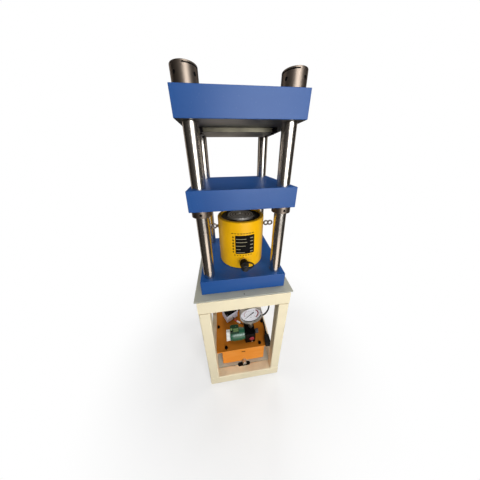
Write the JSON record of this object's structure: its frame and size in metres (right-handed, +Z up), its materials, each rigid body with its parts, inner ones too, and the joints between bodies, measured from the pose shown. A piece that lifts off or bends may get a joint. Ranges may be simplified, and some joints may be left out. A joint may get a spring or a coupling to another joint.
{
  "type": "hydraulic press",
  "caption": "Four-column hydraulic press on a welded stand, with a loose jack and an electric pump.",
  "frame": {"origin": "on the floor, at the middle of the stand", "axes": "+Z up along the columns, -Y toward the front, +X to the right seen from the front"},
  "size_m": [0.374, 0.382, 1.2685],
  "materials": {
    "cream_enamel": "semi-gloss enamel, scuffed at the edges",
    "grey_plate": "matt grey, worn",
    "blue_enamel": "satin enamel",
    "ground_steel": "ground and polished",
    "turned_steel": "turned, lightly oiled",
    "blackened_steel": "blackened",
    "yellow_enamel": "gloss enamel",
    "black_rubber": "matt",
    "orange_powder_coat": "powder coat",
    "green_enamel": "gloss enamel",
    "white_plastic": "matt",
    "red_plastic": "gloss",
    "grey_plastic": "matt",
    "dial_white": "matt white"
  },
  "bodies": {
    "frame": {"stand_rail_front": "cream_enamel", "stand_rail_right": "cream_enamel", "stand_rail_back": "cream_enamel", "stand_rail_left": "cream_enamel", "stand_apron_front": "cream_enamel", "stand_apron_right": "cream_enamel", "stand_apron_back": "cream_enamel", "stand_apron_left": "cream_enamel", "stand_leg_front_left": "cream_enamel", "stand_leg_front_right": "cream_enamel", "stand_leg_back_left": "cream_enamel", "stand_leg_back_right": "cream_enamel", "stand_top_plate": "grey_plate", "stand_shelf": "grey_plate", "base_plate": "blue_enamel", "crosshead": "blue_enamel", "column_front_left": "ground_steel", "column_front_right": "ground_steel", "column_back_left": "ground_steel", "column_back_right": "ground_steel", "column_nut_front_left": "turned_steel", "column_nut_front_right": "turned_steel", "column_nut_back_left": "turned_steel", "column_nut_back_right": "turned_steel", "stop_collar_front_left": "turned_steel", "stop_collar_front_right": "turned_steel", "stop_collar_back_left": "turned_steel", "stop_collar_back_right": "turned_steel", "tool_plate": "turned_steel", "tool_clamp_left": "blackened_steel", "tool_clamp_right": "blackened_steel", "jack_body": "yellow_enamel", "jack_gland_ring": "blackened_steel", "jack_coupler": "blackened_steel", "jack_lifting_eye_left": "blackened_steel", "jack_lifting_eye_right": "blackened_steel", "jack_dust_cap": "black_rubber", "pump_tank": "orange_powder_coat", "pump_lid": "orange_powder_coat", "pump_drain_plug": "turned_steel", "pump_valve_block": "blackened_steel", "control_box": "grey_plastic", "pump_motor": "green_enamel", "pump_terminal_box": "green_enamel", "pump_motor_end_cover": "white_plastic", "gauge_case": "ground_steel", "gauge_fitting": "turned_steel", "gauge_dial": "dial_white", "gauge_bezel": "blackened_steel", "lead_peg": "blackened_steel", "control_box_lid": "black_rubber", "power_lead": "black_rubber", "lead_connector": "black_rubber"},
    "platen": {"moving_platen": "blue_enamel"},
    "ram": {"jack_ram": "ground_steel", "jack_saddle": "turned_steel"},
    "pointer": {"gauge_pointer": "blackened_steel"},
    "rocker": {"switch_rocker": "red_plastic"},
    "knob": {"release_knob": "grey_plastic"}
  },
  "joints": [
    {"name": "platen_slide", "type": "slide", "parent": "frame", "child": "platen", "axis": [0, 0, 1], "range_m": [0, 0.036]},
    {"name": "ram_slide", "type": "slide", "parent": "frame", "child": "ram", "axis": [0, 0, 1], "range_m": [0, 0.1]},
    {"name": "gauge_pointer_hinge", "type": "hinge", "parent": "frame", "child": "pointer", "pos_m": [0.049, -0.088, 0.346], "axis": [0, 1, 0], "range_deg": [0, 270], "stiffness_Nm_per_rad": 0.002},
    {"name": "switch_rocker_hinge", "type": "hinge", "parent": "frame", "child": "rocker", "pos_m": [0.0485, -0.115, 0.21], "axis": [1, 0, 0], "range_deg": [0, 16]},
    {"name": "release_knob_hinge", "type": "hinge", "parent": "frame", "child": "knob", "pos_m": [0.068, -0.088, 0.222], "axis": [1, 0, 0], "range_deg": [0, 270]}
  ],
  "couplings": [
    {"joint": "ram_slide", "follows": "platen_slide", "ratio": 2.77}
  ]
}
